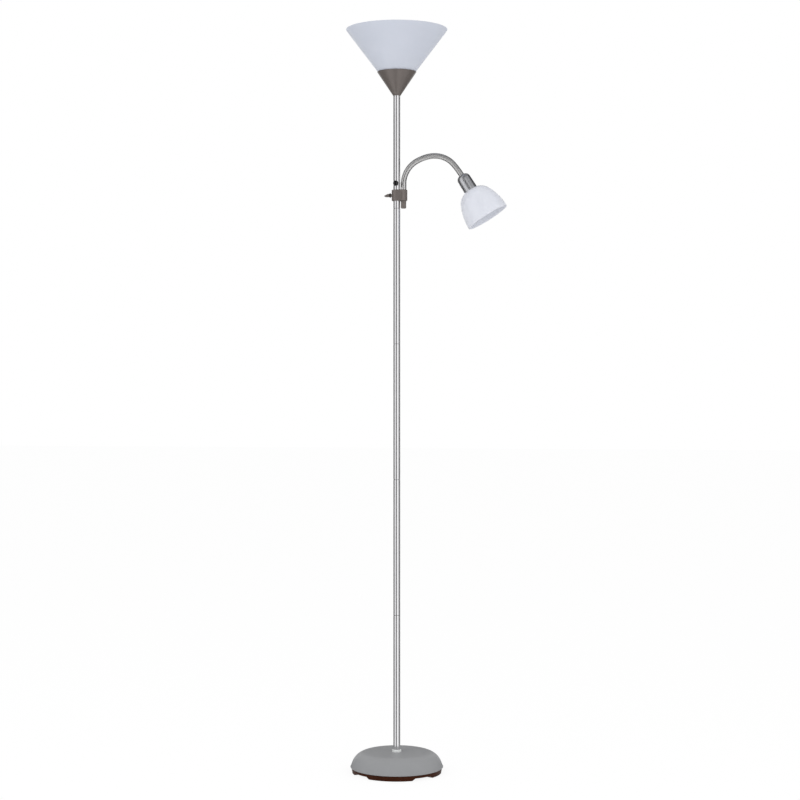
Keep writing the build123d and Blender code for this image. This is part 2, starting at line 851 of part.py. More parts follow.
# The bell: a flat top with the holder's hole, a round shoulder and a long even flare.
bell_top = holder_length
bell_rim = bell_top + bell_length
with BuildPart() as reading_shade:
    with BuildSketch(head):
        with BuildLine() as bell_line:
            top = Line((small_skirt + loose, bell_top), (bell_top_radius, bell_top))
            shoulder = ThreePointArc(top @ 1, (30.8, bell_top + 7.2), (42.4, bell_top + 23.0))
            ThreePointArc(shoulder @ 1, (49.8, bell_top + 45.0), (bell_rim_radius, bell_rim))
            offset(bell_line.line, amount=bell_wall, side=Side.LEFT, closed=True)
        make_face()
    revolve(axis=Axis(head.origin, head.y_dir))
finish(reading_shade.part, "reading_shade")

with BuildPart() as reading_shade_ring:
    ring_low = bell_top + bell_wall
    turn(
        [
            (small_skirt + seat, ring_low),
            (16.4, ring_low),
            (18.6, ring_low + 0.9),
            (18.6, ring_low + 2.2),
            (16.4, ring_low + 2.2),
            (16.4, ring_low + 6),
            (small_skirt + seat, ring_low + 6),
        ],
        head,
    )
finish(reading_shade_ring.part, "reading_shade_ring")

with BuildPart() as reading_bulb_base:
    bulb_base(head, small_floor + 1.8, small_mouth + 1, small_cone - 0.8)
finish(reading_bulb_base.part, "reading_bulb_base")

with BuildPart() as reading_bulb_glass:
    bulb_glass(
        head, small_mouth + 1, small_cone - 0.2, reading_bulb_radius, reading_bulb_length, 0.8
    )
finish(reading_bulb_glass.part, "reading_bulb_glass")

print("pivots of the neck (x, z, heading):")
for number in range(link_count + 1):
    x, z, heading = neck_point(number * link_length)
    print(f"  {x:.3f} {z:.3f} {heading * 57.29578:.2f}")
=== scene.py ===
import json
from math import atan2, cos, degrees, pi, radians, sin, tan

import bmesh
import bpy
from mathutils import Matrix, Vector


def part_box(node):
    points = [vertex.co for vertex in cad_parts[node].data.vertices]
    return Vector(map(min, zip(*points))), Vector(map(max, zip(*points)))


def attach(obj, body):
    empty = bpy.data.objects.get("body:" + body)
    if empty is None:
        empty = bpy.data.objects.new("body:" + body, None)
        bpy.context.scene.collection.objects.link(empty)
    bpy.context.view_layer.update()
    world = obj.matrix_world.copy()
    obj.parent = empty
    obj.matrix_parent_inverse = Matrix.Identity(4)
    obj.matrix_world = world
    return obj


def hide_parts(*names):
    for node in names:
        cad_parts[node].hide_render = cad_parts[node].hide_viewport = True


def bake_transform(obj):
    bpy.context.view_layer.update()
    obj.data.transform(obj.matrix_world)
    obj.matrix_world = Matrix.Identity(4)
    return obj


# Torchiere floor lamp with a reading light on a gooseneck. Metres, standing on z = 0.
# The arm points towards +X and the front is -Y.

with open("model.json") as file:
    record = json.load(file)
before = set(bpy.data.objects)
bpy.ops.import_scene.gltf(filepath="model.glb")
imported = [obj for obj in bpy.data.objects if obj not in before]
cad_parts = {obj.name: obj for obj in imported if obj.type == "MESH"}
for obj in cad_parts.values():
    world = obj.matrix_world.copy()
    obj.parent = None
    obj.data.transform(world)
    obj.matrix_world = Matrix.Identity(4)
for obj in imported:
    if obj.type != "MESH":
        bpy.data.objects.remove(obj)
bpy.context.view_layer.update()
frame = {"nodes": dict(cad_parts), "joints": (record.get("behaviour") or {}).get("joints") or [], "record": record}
nodes = frame["nodes"]
joints = {joint["name"]: joint for joint in frame["joints"]}
scene = bpy.context.scene
print("frame loaded:", len(nodes), "nodes")

# camera: a long lens at table height, a little to the right of the lamp's front
cameraSettings = {
    "place": (0.683, -4.312, 0.955),
    "turn": 9.0,
    "lens": 81.0,
    "sensor": 36.0,
    "shift": (0.004, -0.0275),
    "sight": (0.05, 60.0),
}
bpy.ops.object.camera_add(
    location=cameraSettings["place"],
    rotation=(radians(90), 0, radians(cameraSettings["turn"])),
)
camera = bpy.context.object
camera.data.lens = cameraSettings["lens"]
camera.data.sensor_width = cameraSettings["sensor"]
camera.data.shift_x, camera.data.shift_y = cameraSettings["shift"]
camera.data.clip_start, camera.data.clip_end = cameraSettings["sight"]
scene.camera = camera
print("camera set")


# small helpers for modelling
def deselectAll():
    bpy.ops.object.select_all(action="DESELECT")


def pickOnly(piece):
    deselectAll()
    piece.select_set(True)
    bpy.context.view_layer.objects.active = piece


def startEdit(piece):
    pickOnly(piece)
    bpy.ops.object.mode_set(mode="EDIT")


def endEdit():
    bpy.ops.object.mode_set(mode="OBJECT")


def addModifier(piece, name, kind, **settings):
    modifier = piece.modifiers.new(name, kind)
    for setting, value in settings.items():
        setattr(modifier, setting, value)
    return modifier


def applyModifiers(piece):
    pickOnly(piece)
    for modifier in list(piece.modifiers):
        bpy.ops.object.modifier_apply(modifier=modifier.name)


def smoothShade(piece, angle=35):
    pickOnly(piece)
    bpy.ops.object.shade_smooth_by_angle(angle=radians(angle))


def bakePlace(piece, place):
    # puts a piece that was modelled about the Z axis where it belongs
    piece.matrix_world = place
    pickOnly(piece)
    bpy.ops.object.transform_apply(location=True, rotation=True, scale=True)


def lineOf(name, outline, closed):
    # a chain of edges through the outline's (radius, height) points, left in edit mode
    deselectAll()
    bpy.ops.mesh.primitive_plane_add(size=0.002)
    piece = bpy.context.object
    piece.name = name
    bpy.ops.object.mode_set(mode="EDIT")
    bpy.ops.mesh.select_all(action="SELECT")
    bpy.ops.mesh.merge(type="CENTER")
    radius, height = outline[0]
    bpy.ops.transform.translate(value=(radius, 0, height))
    for nextRadius, nextHeight in outline[1:] + (outline[:1] if closed else []):
        step = (nextRadius - radius, 0, nextHeight - height)
        bpy.ops.mesh.extrude_vertices_move(TRANSFORM_OT_translate={"value": step})
        radius, height = nextRadius, nextHeight
    return piece


def spunPiece(name, outline, steps=96, closed=True):
    # an outline turned once about Z
    piece = lineOf(name, outline, closed)
    bpy.ops.mesh.select_all(action="SELECT")
    bpy.ops.mesh.spin(steps=steps, angle=2 * pi, center=(0, 0, 0), axis=(0, 0, 1))
    bpy.ops.mesh.select_all(action="SELECT")
    bpy.ops.mesh.remove_doubles(threshold=2e-6)
    bpy.ops.mesh.normals_make_consistent(inside=False)
    endEdit()
    smoothShade(piece)
    return piece


def arcPoints(centre, radius, fromAngle, toAngle, count):
    # points on a round corner of an outline, angles in degrees from the radius axis
    steps = [fromAngle + (toAngle - fromAngle) * n / count for n in range(count + 1)]
    return [
        (centre[0] + radius * cos(radians(a)), centre[1] + radius * sin(radians(a)))
        for a in steps
    ]


def arcThrough(points, count):
    # points along the circle that passes through three given ones
    (ax, ay), (bx, by), (cx, cy) = points
    scale = 2 * (ax * (by - cy) + bx * (cy - ay) + cx * (ay - by))
    a2, b2, c2 = ax * ax + ay * ay, bx * bx + by * by, cx * cx + cy * cy
    x = (a2 * (by - cy) + b2 * (cy - ay) + c2 * (ay - by)) / scale
    y = (a2 * (cx - bx) + b2 * (ax - cx) + c2 * (bx - ax)) / scale
    radius = ((ax - x) ** 2 + (ay - y) ** 2) ** 0.5
    first, last = atan2(ay - y, ax - x), atan2(cy - y, cx - x)
    steps = [first + (last - first) * n / count for n in range(count + 1)]
    return [(x + radius * cos(a), y + radius * sin(a)) for a in steps]


def axialReach(node, place):
    # how far a node reaches along a turned axis, lowest and highest
    back = place.inverted()
    heights = [(back @ v.co).z for v in nodes[node].data.vertices]
    return min(heights), max(heights)


def finishPiece(piece, body, slotName, *replaced):
    piece.data.materials.clear()
    piece.data.materials.append(finishes[slotName])
    if body:
        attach(piece, body)
    if replaced:
        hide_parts(*replaced)


# small helpers for materials
def addNode(tree, kind, inputs=None, **settings):
    # a shader node whose inputs are each linked to a socket or set to a value
    node = tree.nodes.new("ShaderNode" + kind)
    for name, value in settings.items():
        setattr(node, name, value)
    for name, value in (inputs or {}).items():
        if isinstance(value, bpy.types.NodeSocket):
            tree.links.new(value, node.inputs[name])
        else:
            node.inputs[name].default_value = value
    return node


def mathNode(tree, operation, *values, **settings):
    node = addNode(tree, "Math", dict(enumerate(values)), operation=operation, **settings)
    return node.outputs["Value"]


def rangeNode(tree, value, start=(0.0, 1.0), end=(0.0, 1.0)):
    # a value stretched from its start range to its end range
    node = addNode(tree, "MapRange", {
        "Value": value,
        "From Min": start[0], "From Max": start[1],
        "To Min": end[0], "To Max": end[1],
    })
    return node.outputs["Result"]


def mixNode(tree, share, first, second, kind="RGBA"):
    node = addNode(tree, "Mix", {"Factor": share, "A": first, "B": second}, data_type=kind)
    return node.outputs["Result"]


def objectPlace(tree):
    return addNode(tree, "TexCoord").outputs["Object"]


def linearColour(levels):
    # 0 to 255 screen levels to a linear colour
    shares = [level / 255 for level in levels]
    parts = [s / 12.92 if s <= 0.04045 else ((s + 0.055) / 1.055) ** 2.4 for s in shares]
    return (*parts, 1.0)


def nodeGroup(name, inputs, outputs):
    group = bpy.data.node_groups.new(name, "ShaderNodeTree")
    for label, kind, value in inputs:
        socket = group.interface.new_socket(name=label, in_out="INPUT", socket_type=kind)
        socket.default_value = value
    for label in outputs:
        group.interface.new_socket(name=label, in_out="OUTPUT", socket_type="NodeSocketFloat")
    given = group.nodes.new("NodeGroupInput").outputs
    result = group.nodes.new("NodeGroupOutput").inputs
    return group, given, result


# effects that several finishes share
def makeGrainGroup():
    # fine grain and slow clouds, both 0 to 1, on the object's own coordinates
    group, given, result = nodeGroup(
        "surfaceGrain",
        [
            ("Scale", "NodeSocketFloat", 400.0),
            ("Stretch", "NodeSocketVector", (1.0, 1.0, 1.0)),
            ("Turn", "NodeSocketVector", (0.0, 0.0, 0.0)),
            ("Cloud Scale", "NodeSocketFloat", 12.0),
        ],
        ["Grain", "Cloud"],
    )
    place = objectPlace(group)
    turned = addNode(group, "Mapping", {"Vector": place, "Rotation": given["Turn"]})
    stretched = addNode(
        group, "Mapping", {"Vector": turned.outputs["Vector"], "Scale": given["Stretch"]}
    )
    grain = addNode(group, "TexNoise", {
        "Vector": stretched.outputs["Vector"], "Scale": given["Scale"], "Detail": 3.0,
    })
    cloud = addNode(group, "TexNoise", {
        "Vector": place, "Scale": given["Cloud Scale"], "Detail": 4.0, "Roughness": 0.55,
    })
    group.links.new(grain.outputs["Fac"], result["Grain"])
    group.links.new(cloud.outputs["Fac"], result["Cloud"])
    return group


def makeDustGroup():
    # a thin veil that settles on what faces up
    group, given, result = nodeGroup(
        "settledDust",
        [("Amount", "NodeSocketFloat", 0.2), ("Patch Scale", "NodeSocketFloat", 40.0)],
        ["Dust"],
    )
    normal = addNode(group, "NewGeometry").outputs["Normal"]
    upward = addNode(group, "SeparateXYZ", {"Vector": normal}).outputs["Z"]
    facing = rangeNode(group, upward, start=(0.55, 1.0))
    patches = addNode(group, "TexNoise", {
        "Vector": objectPlace(group), "Scale": given["Patch Scale"], "Detail": 5.0,
    })
    patchy = rangeNode(group, patches.outputs["Fac"], start=(0.35, 0.7))
    product = mathNode(group, "MULTIPLY", facing, patchy)
    group.links.new(mathNode(group, "MULTIPLY", product, given["Amount"]), result["Dust"])
    return group


def makeSeamGroup():
    # 1 in a narrow band at a first height and at each pitch above and below it: the mask for the painted shade at
    # the pole's tube joints
    group, given, result = nodeGroup(
        "tubeSeams",
        [
            ("First", "NodeSocketFloat", 0.0),
            ("Pitch", "NodeSocketFloat", 1.0),
            ("Half Width", "NodeSocketFloat", 0.001),
        ],
        ["Seam"],
    )
    height = addNode(group, "SeparateXYZ", {"Vector": objectPlace(group)}).outputs["Z"]
    above = mathNode(group, "SUBTRACT", height, given["First"])
    halfPitch = mathNode(group, "MULTIPLY", given["Pitch"], 0.5)
    toSeam = mathNode(group, "PINGPONG", above, halfPitch)
    group.links.new(mathNode(group, "LESS_THAN", toSeam, given["Half Width"]), result["Seam"])
    return group


grainGroup = makeGrainGroup()
dustGroup = makeDustGroup()
seamGroup = makeSeamGroup()
tubeTops = [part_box(f"pole_tube_{number}")[1].z for number in (1, 2)]

# what a finish has where it says nothing else; sizes in metres, angles in degrees
plainLook = {
    "grain": 400.0, "stretch": (1, 1, 1), "turn": (0, 0, 0), "clouds": 12.0, "cloudShare": 0.5,
    "metal": 0.0, "ior": 1.47, "gloss": 0.5, "coat": 0.0, "coatRough": 0.1,
    "milky": 0.0, "milkyDepth": 0.006, "bump": 0.0, "depth": 0.0001,
    # jointShadeTone is the colour of the painted shade at the pole's tube joints
    "seams": None, "jointShadeTone": (52, 52, 54), "dust": 0.0, "dustTone": (176, 173, 168), "dustDull": 0.5,
}
plainSockets = {
    "Metallic": "metal", "IOR": "ior", "Specular IOR Level": "gloss",
    "Subsurface Weight": "milky", "Subsurface Scale": "milkyDepth",
    "Coat Weight": "coat", "Coat Roughness": "coatRough",
}
noiseMiddle = (0.3, 0.7)  # where most of a noise's values lie


def makeFinish(name, look):
    look = {**plainLook, **look}
    material = bpy.data.materials.new(name)
    material.use_nodes = True
    tree = material.node_tree
    shader = next(n for n in tree.nodes if n.type == "BSDF_PRINCIPLED")
    grain = addNode(tree, "Group", node_tree=grainGroup, inputs={
        "Scale": look["grain"],
        "Stretch": look["stretch"],
        "Turn": [radians(angle) for angle in look["turn"]],
        "Cloud Scale": look["clouds"],
    })
    grainTone = rangeNode(tree, grain.outputs["Grain"], start=noiseMiddle)
    cloudTone = rangeNode(tree, grain.outputs["Cloud"], start=noiseMiddle)
    tone = mixNode(tree, look["cloudShare"], grainTone, cloudTone, kind="FLOAT")
    colour = mixNode(tree, tone, linearColour(look["dark"]), linearColour(look["light"]))
    roughness = rangeNode(tree, tone, end=look["rough"])

    # painted shade: a dark band at each tube joint of the pole, where the joint's groove lies in shade
    if look["seams"]:
        first, pitch = look["seams"]
        seam = addNode(tree, "Group", node_tree=seamGroup, inputs={
            "First": first, "Pitch": pitch, "Half Width": look["seamHalfWidth"],
        })
        colour = mixNode(tree, seam.outputs["Seam"], colour, linearColour(look["jointShadeTone"]))

    if look["dust"]:
        dust = addNode(tree, "Group", node_tree=dustGroup, inputs={"Amount": look["dust"]})
        veil = dust.outputs["Dust"]
        colour = mixNode(tree, veil, colour, linearColour(look["dustTone"]))
        roughness = mathNode(
            tree, "MULTIPLY_ADD", veil, look["dustDull"], roughness, use_clamp=True
        )

    tree.links.new(colour, shader.inputs["Base Color"])
    tree.links.new(roughness, shader.inputs["Roughness"])
    shader.inputs["Subsurface Radius"].default_value = (1.0, 1.0, 1.0)
    for socket, key in plainSockets.items():
        shader.inputs[socket].default_value = look[key]
    if look["bump"]:
        bump = addNode(tree, "Bump", {
            "Strength": look["bump"], "Distance": look["depth"], "Height": grain.outputs["Grain"],
        })
        tree.links.new(bump.outputs["Normal"], shader.inputs["Normal"])
    return material


finishLooks = {
    "base_paint": {
        "dark": (143, 144, 146), "light": (155, 156, 158), "rough": (0.4, 0.5),
        "gloss": 0.25, "grain": 2600.0, "clouds": 16.0, "cloudShare": 0.35,
        "bump": 0.12, "dust": 0.1, "ior": 1.4,
    },
    "concrete": {
        "dark": (128, 126, 120), "light": (150, 148, 142), "rough": (0.8, 0.95),
        "grain": 300.0, "bump": 0.5, "depth": 0.0004,
    },
    "tray_plastic": {
        "dark": (48, 20, 6), "light": (72, 34, 14), "rough": (0.42, 0.55),
        "grain": 1500.0, "clouds": 22.0, "bump": 0.15, "gloss": 0.1,
    },
    "polished_steel": {
        "dark": (238, 240, 239), "light": (248, 250, 249), "rough": (0.3, 0.4),
        "metal": 0.2, "grain": 900.0, "stretch": (1, 1, 8), "cloudShare": 0.3,
    },
    "pole_plate": {
        "dark": (236, 236, 238), "light": (246, 245, 246), "rough": (0.1, 0.14),
        "metal": 1.0, "grain": 900.0, "stretch": (1, 1, 0.03), "clouds": 6.0,
        "cloudShare": 0.4, "bump": 0.01, "depth": 0.00005,
        # the seams are painted shade at the tube joints, one tube's length apart
        "seams": (tubeTops[0], tubeTops[1] - tubeTops[0]), "seamHalfWidth": 0.0003,
    },
    "neck_plate": {
        "dark": (210, 209, 208), "light": (228, 227, 226), "rough": (0.22, 0.3),
        "metal": 1.0, "grain": 1200.0, "clouds": 30.0,
    },
    "holder_nickel": {
        "dark": (205, 206, 209), "light": (220, 221, 224), "rough": (0.28, 0.36),
        "metal": 1.0, "grain": 1000.0, "stretch": (1, 1, 0.05), "turn": (0, -148, 0),
        "clouds": 20.0,
    },
    "zinc_steel": {
        "dark": (176, 176, 170), "light": (198, 198, 192), "rough": (0.28, 0.45),
        "metal": 1.0, "grain": 700.0, "clouds": 60.0,
    },
    "pewter": {
        "dark": (108, 101, 97), "light": (124, 116, 112), "rough": (0.3, 0.4),
        "metal": 0.3, "grain": 1400.0, "stretch": (1, 1, 0.08), "clouds": 14.0,
        "cloudShare": 0.35, "bump": 0.06,
    },
    "dark_nut": {
        "dark": (36, 30, 28), "light": (52, 46, 43), "rough": (0.3, 0.42),
        "metal": 0.4, "grain": 900.0, "bump": 0.08,
    },
    "black_gloss": {
        "dark": (10, 10, 11), "light": (16, 16, 17), "rough": (0.1, 0.16),
        "grain": 600.0, "clouds": 60.0, "coat": 0.3, "coatRough": 0.06,
    },
    "black_plastic": {
        "dark": (26, 26, 26), "light": (38, 38, 38), "rough": (0.45, 0.58),
        "grain": 1300.0, "bump": 0.15,
    },
    "white_plastic": {
        "dark": (224, 221, 214), "light": (236, 234, 228), "rough": (0.4, 0.5),
        "grain": 800.0, "clouds": 40.0, "bump": 0.05,
    },
    "flex_sheath": {
        "dark": (212, 212, 206), "light": (226, 226, 220), "rough": (0.5, 0.6),
        "grain": 900.0,
    },
    "brass_shell": {
        "dark": (196, 164, 98), "light": (214, 184, 118), "rough": (0.22, 0.34),
        "metal": 1.0, "grain": 700.0,
    },
    "opal_plastic": {
        "dark": (202, 207, 218), "light": (211, 215, 226), "rough": (0.42, 0.5),
        "grain": 900.0, "clouds": 7.0, "cloudShare": 0.8, "bump": 0.03, "dust": 0.08,
        "milky": 0.3, "milkyDepth": 0.003,
    },
    "frosted_glass": {
        "dark": (216, 219, 230), "light": (225, 228, 238), "rough": (0.3, 0.38),
        "grain": 900.0, "clouds": 18.0, "cloudShare": 0.8, "coat": 0.1,
        "milky": 0.5, "milkyDepth": 0.01,
    },
    "bulb_glass": {
        "dark": (232, 231, 228), "light": (240, 239, 236), "rough": (0.12, 0.2),
        "grain": 500.0, "clouds": 40.0, "cloudShare": 0.8, "coat": 0.3,
    },
    "bulb_cap": {
        "dark": (186, 186, 186), "light": (208, 208, 208), "rough": (0.26, 0.36),
        "metal": 1.0, "grain": 800.0, "clouds": 60.0,
    },
}
finishes = {name: makeFinish(name, look) for name, look in finishLooks.items()}

# each CAD node takes the finish that the record names for it
slotOf = {part["node"]: part["material_slot"] for part in frame["record"]["subparts"]}
for nodeName, node in nodes.items():
    node.data.materials.clear()
    node.data.materials.append(finishes[slotOf[nodeName]])
print("materials made:", len(finishes))

# the neck's line: through the six hinge points, starting upright
neckSettings = {
    "end": (0.158424, 0.0, 1.443798),
    "crest": 0.00675,
    "depth": 0.00026,
    "shoulder": 0.2,  # share of the depth at the groove's edge
    "groove": 0.12,  # share of a turn from the groove's middle to its edge
    "flat": 2.2,  # where the crest's flat starts, counted in grooves
    "wall": 0.0006,
    "turnsPerLink": 14,
    "roundSteps": 28,
    "turnGap": 0.00002,  # how close two turns' edges are when they are joined
    "weldGap": 0.00001,
    "freeHandle": 0.01,  # for the curve's two ends
    "hingeMargin": 0.0016,
}
linkCount = 6
hinges = [Vector(joints[f"neck_bend_{n + 1}"]["pos_m"]) for n in range(linkCount)]
linePoints = hinges + [Vector(neckSettings["end"])]
headings = [0.0]  # from upright, towards +X
for here, there in zip(linePoints, linePoints[1:]):
    chord = atan2(there.x - here.x, there.z - here.z)
    headings.append(2 * chord - headings[-1])


def headingWay(heading):
    return Vector((sin(heading), 0, cos(heading)))


def handleLength(number):
    # how far a curve's handles reach for the arc from this point to the next
    bend = headings[number + 1] - headings[number]
    chord = (linePoints[number + 1] - linePoints[number]).length
    radius = chord / (2 * sin(bend / 2))
    return 4 / 3 * tan(bend / 4) * radius


def makeNeckLine():
    data = bpy.data.curves.new("neckLine", "CURVE")
    data.dimensions = "3D"
    data.resolution_u = 24
    spline = data.splines.new("BEZIER")
    spline.bezier_points.add(linkCount)
    for n, place in enumerate(linePoints):
        point = spline.bezier_points[n]
        point.handle_left_type = point.handle_right_type = "FREE"
        point.co = place
        before = handleLength(n - 1) if n > 0 else neckSettings["freeHandle"]
        after = handleLength(n) if n < linkCount else neckSettings["freeHandle"]
        point.handle_left = place - headingWay(headings[n]) * before
        point.handle_right = place + headingWay(headings[n]) * after
    line = bpy.data.objects.new("neckLine", data)
    scene.collection.objects.link(line)
    return line, spline.calc_length()


neckLine, neckLength = makeNeckLine()
linkLength = neckLength / linkCount
headPlace = Matrix.Translation(linePoints[-1]) @ Matrix.Rotation(headings[-1], 4, "Y")
print("neck line:", round(neckLength, 4), "m, head at", round(degrees(headings[-1]), 1))


# gooseneck: a wound hose whose turns run on from piece to piece
def makeStraightHose():
    # one turn's outline along X, wound by the screw modifier
    pitch = linkLength / neckSettings["turnsPerLink"]
    crest = neckSettings["crest"]
    root = crest - neckSettings["depth"]
    shoulder = crest - neckSettings["depth"] * neckSettings["shoulder"]
    groove = neckSettings["groove"]
    flat = groove * neckSettings["flat"]
    outline = [
        (0, root), (groove, shoulder), (flat, crest),
        (1 - flat, crest), (1 - groove, shoulder), (1, root),
    ]
    hose = lineOf("straightHose", [(share * pitch, radius) for share, radius in outline], False)
    endEdit()
    addModifier(
        hose, "wind", "SCREW", axis="X", angle=2 * pi, screw_offset=pitch,
        steps=neckSettings["roundSteps"], render_steps=neckSettings["roundSteps"],
        iterations=linkCount * neckSettings["turnsPerLink"] + 2,
        use_merge_vertices=True, merge_threshold=neckSettings["turnGap"],
    )
    applyModifiers(hose)
    startEdit(hose)
    bpy.ops.mesh.select_all(action="SELECT")
    bpy.ops.mesh.remove_doubles(threshold=neckSettings["weldGap"])
    bpy.ops.transform.translate(value=(-pitch, 0, 0))
    endEdit()
    return hose, pitch


straightHose, hosePitch = makeStraightHose()


def makeHosePiece(name, fromPlace, toPlace):
    # a stretch of the hose, cut square at both ends, bent along the neck's line
    piece = straightHose.copy()
    piece.data = straightHose.data.copy()
    piece.name = name
    scene.collection.objects.link(piece)
    startEdit(piece)
    bpy.ops.mesh.select_all(action="SELECT")
    bpy.ops.mesh.bisect(plane_co=(fromPlace, 0, 0), plane_no=(1, 0, 0), clear_inner=True)
    bpy.ops.mesh.select_all(action="SELECT")
    bpy.ops.mesh.bisect(plane_co=(toPlace, 0, 0), plane_no=(1, 0, 0), clear_outer=True)
    bpy.ops.mesh.select_all(action="SELECT")
    bpy.ops.mesh.normals_make_consistent(inside=False)
    endEdit()
    addModifier(piece, "follow", "CURVE", object=neckLine, deform_axis="POS_X")
    addModifier(piece, "wall", "SOLIDIFY", thickness=neckSettings["wall"], offset=-1.0)
    applyModifiers(piece)
    smoothShade(piece, 50)
    return piece


for number in range(linkCount):
    fromPlace = (number - 0.5) * linkLength if number else hosePitch
    toPlace = (number + 0.5) * linkLength
    hosePiece = makeHosePiece(f"neckHose{number + 1}", fromPlace, toPlace)
    finishPiece(hosePiece, None, "neck_plate", f"neck_segment_{number + 1}")
    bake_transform(hosePiece)
hoseTail = makeHosePiece("neckHose7", (linkCount - 0.5) * linkLength, neckLength)
finishPiece(hoseTail, "reading_head", "neck_plate")
bpy.data.objects.remove(straightHose)
bpy.data.objects.remove(neckLine)
print("gooseneck made")

# uplight shade: a moulded cone with a rounded lip and a flat floor under the bulb
uplightShadeSettings = {
    "rim": 0.1232,
    "wall": 0.0018,
    "slope": 0.74956,  # how fast the cone widens
    "hole": 0.0199,
    "lip": 0.0009,
    "lipHeight": 0.001,
    "lipRound": (0.3, 0.0003),  # the lip's outer corner: share of the lip, and how far down
    "lipInner": 0.0001,  # how far down the lip's inner edge is
    "band": 0.02,  # a ring of edges this far under the rim
    "heel": (0.0012, 0.001),  # the foot's chamfer, across and up
    "fillet": (0.0015, 0.002),  # the inner corner, across and up
    "steps": 144,
}


def makeUplightShade():
    shade = uplightShadeSettings
    low, high = (corner.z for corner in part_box("uplight_shade"))
    rim, wall, slope, lip, band = (shade[key] for key in ("rim", "wall", "slope", "lip", "band"))
    foot = rim - slope * (high - low)
    across = wall * (1 + slope**2) ** 0.5
    heelIn, heelUp = shade["heel"]
    filletIn, filletUp = shade["fillet"]
    roundShare, roundDown = shade["lipRound"]
    outline = [
        (shade["hole"], low),
        (foot - heelIn, low),
        (foot, low + heelUp),
        (rim - slope * band, high - band),
        (rim - slope * shade["lipHeight"], high - shade["lipHeight"]),
        (rim - lip * roundShare, high - roundDown),
        (rim - lip, high),
        (rim - across, high - shade["lipInner"]),
        (rim - across - slope * band, high - band),
        (foot - across + slope * (wall + filletUp), low + wall + filletUp),
        (foot - across - filletIn, low + wall),
        (shade["hole"], low + wall),
    ]
    return spunPiece("uplightShade", outline, steps=shade["steps"])


finishPiece(makeUplightShade(), "root", "opal_plastic", "uplight_shade")
print("uplight shade made")

# bulbs: a blown round envelope over a rolled screw cap
upright = Matrix.Identity(4)
bulbSettings = {
    "uplight": {"neck": 0.0138, "bulge": 0.030, "cap": 0.0132, "place": upright, "body": "root"},
    "reading": {
        "neck": 0.0074, "bulge": 0.0225, "cap": 0.0068, "place": headPlace, "body": "reading_head",
    },
}
glassSettings = {
    "wall": 0.0007,
    "cuff": 0.0018,
    "steps": 72,
    "arc": (90, -42, 26),  # the bulge, from its top down, and its number of edges
    # how far from the bulge to the neck, and at what share of the bulge's lowest height
    "waist": [(0.14, 0.82), (0.45, 0.52), (0.8, 0.24)],
}
capSettings = {
    "threadTurns": 5,
    "threadStart": 0.0048,
    "threadEnd": 0.003,
    "threadFoot": 0.90,  # share of the radius where the thread starts
    "bead": (0.99, 0.0006),  # above the thread: share of the radius, and how far up
    "steps": 64,
    # (share of the radius, height): the contact and the insulator under the thread
    "tip": [(0.0, 0.0), (0.36, 0.0), (0.42, 0.0014), (0.80, 0.0034)],
    # (share of a turn, share of the radius): one round turn of the thread
    "turn": [(0.15, 0.96), (0.35, 1.0), (0.65, 1.0), (0.85, 0.96), (1.0, 0.93)],
}


def makeBulbGlass(name, bulb, length, place):
    bulge, neck = bulb["bulge"], bulb["neck"]
    centre = length - bulge
    outer = arcPoints((0, centre), bulge, *glassSettings["arc"])
    outer[0] = (0, centre + bulge)
    lastRadius, lastHeight = outer[-1]
    foot = [
        (lastRadius * (1 - share) + neck * share, lastHeight * level)
        for share, level in glassSettings["waist"]
    ]
    foot += [(neck, glassSettings["cuff"]), (neck, 0.0)]
    glass = spunPiece(name, outer + foot, steps=glassSettings["steps"], closed=False)
    addModifier(glass, "wall", "SOLIDIFY", thickness=glassSettings["wall"], offset=-1.0)
    applyModifiers(glass)
    smoothShade(glass, 60)
    bakePlace(glass, place)
    return glass


def makeBulbCap(name, radius, low, high, place):
    threadLow, threadHigh = low + capSettings["threadStart"], high - capSettings["threadEnd"]
    pitch = (threadHigh - threadLow) / capSettings["threadTurns"]
    outline = [(radius * share, low + rise) for share, rise in capSettings["tip"]]
    outline.append((radius * capSettings["threadFoot"], threadLow))
    for turnNumber in range(capSettings["threadTurns"]):
        for share, size in capSettings["turn"]:
            outline.append((radius * size, threadLow + (turnNumber + share) * pitch))
    beadShare, beadUp = capSettings["bead"]
    outline += [(radius * beadShare, threadHigh + beadUp), (radius, high), (0, high)]
    cap = spunPiece(name, outline, steps=capSettings["steps"], closed=False)
    smoothShade(cap, 50)
    bakePlace(cap, place)
    return cap


for name, bulb in bulbSettings.items():
    low, high = axialReach(f"{name}_bulb_glass", bulb["place"])
    shifted = bulb["place"] @ Matrix.Translation((0, 0, low))
    glass = makeBulbGlass(f"{name}BulbGlass", bulb, high - low, shifted)
    finishPiece(glass, bulb["body"], "bulb_glass", f"{name}_bulb_glass")
    low, high = axialReach(f"{name}_bulb_base", bulb["place"])
    cap = makeBulbCap(f"{name}BulbCap", bulb["cap"], low, high, bulb["place"])
    finishPiece(cap, bulb["body"], "bulb_cap", f"{name}_bulb_base")
print("bulbs made")

# reading shade: a blown bell with a fire-polished lip
bellSettings = {
    "hole": 0.0146,
    "top": 0.0421,
    "wall": 0.0024,
    "lip": 0.0009,
    "lipSegments": 4,
    "steps": 112,
    "curveSteps": (10, 12),  # along the shoulder and the flare
    # (radius, height above the bell's top): start, middle and end of its two curves
    "shoulder": [(0.0171, 0.0), (0.0307, 0.0072), (0.0423, 0.0230)],
    "flare": [(0.0423, 0.0230), (0.0497, 0.0450), (0.0537, 0.0786)],
}


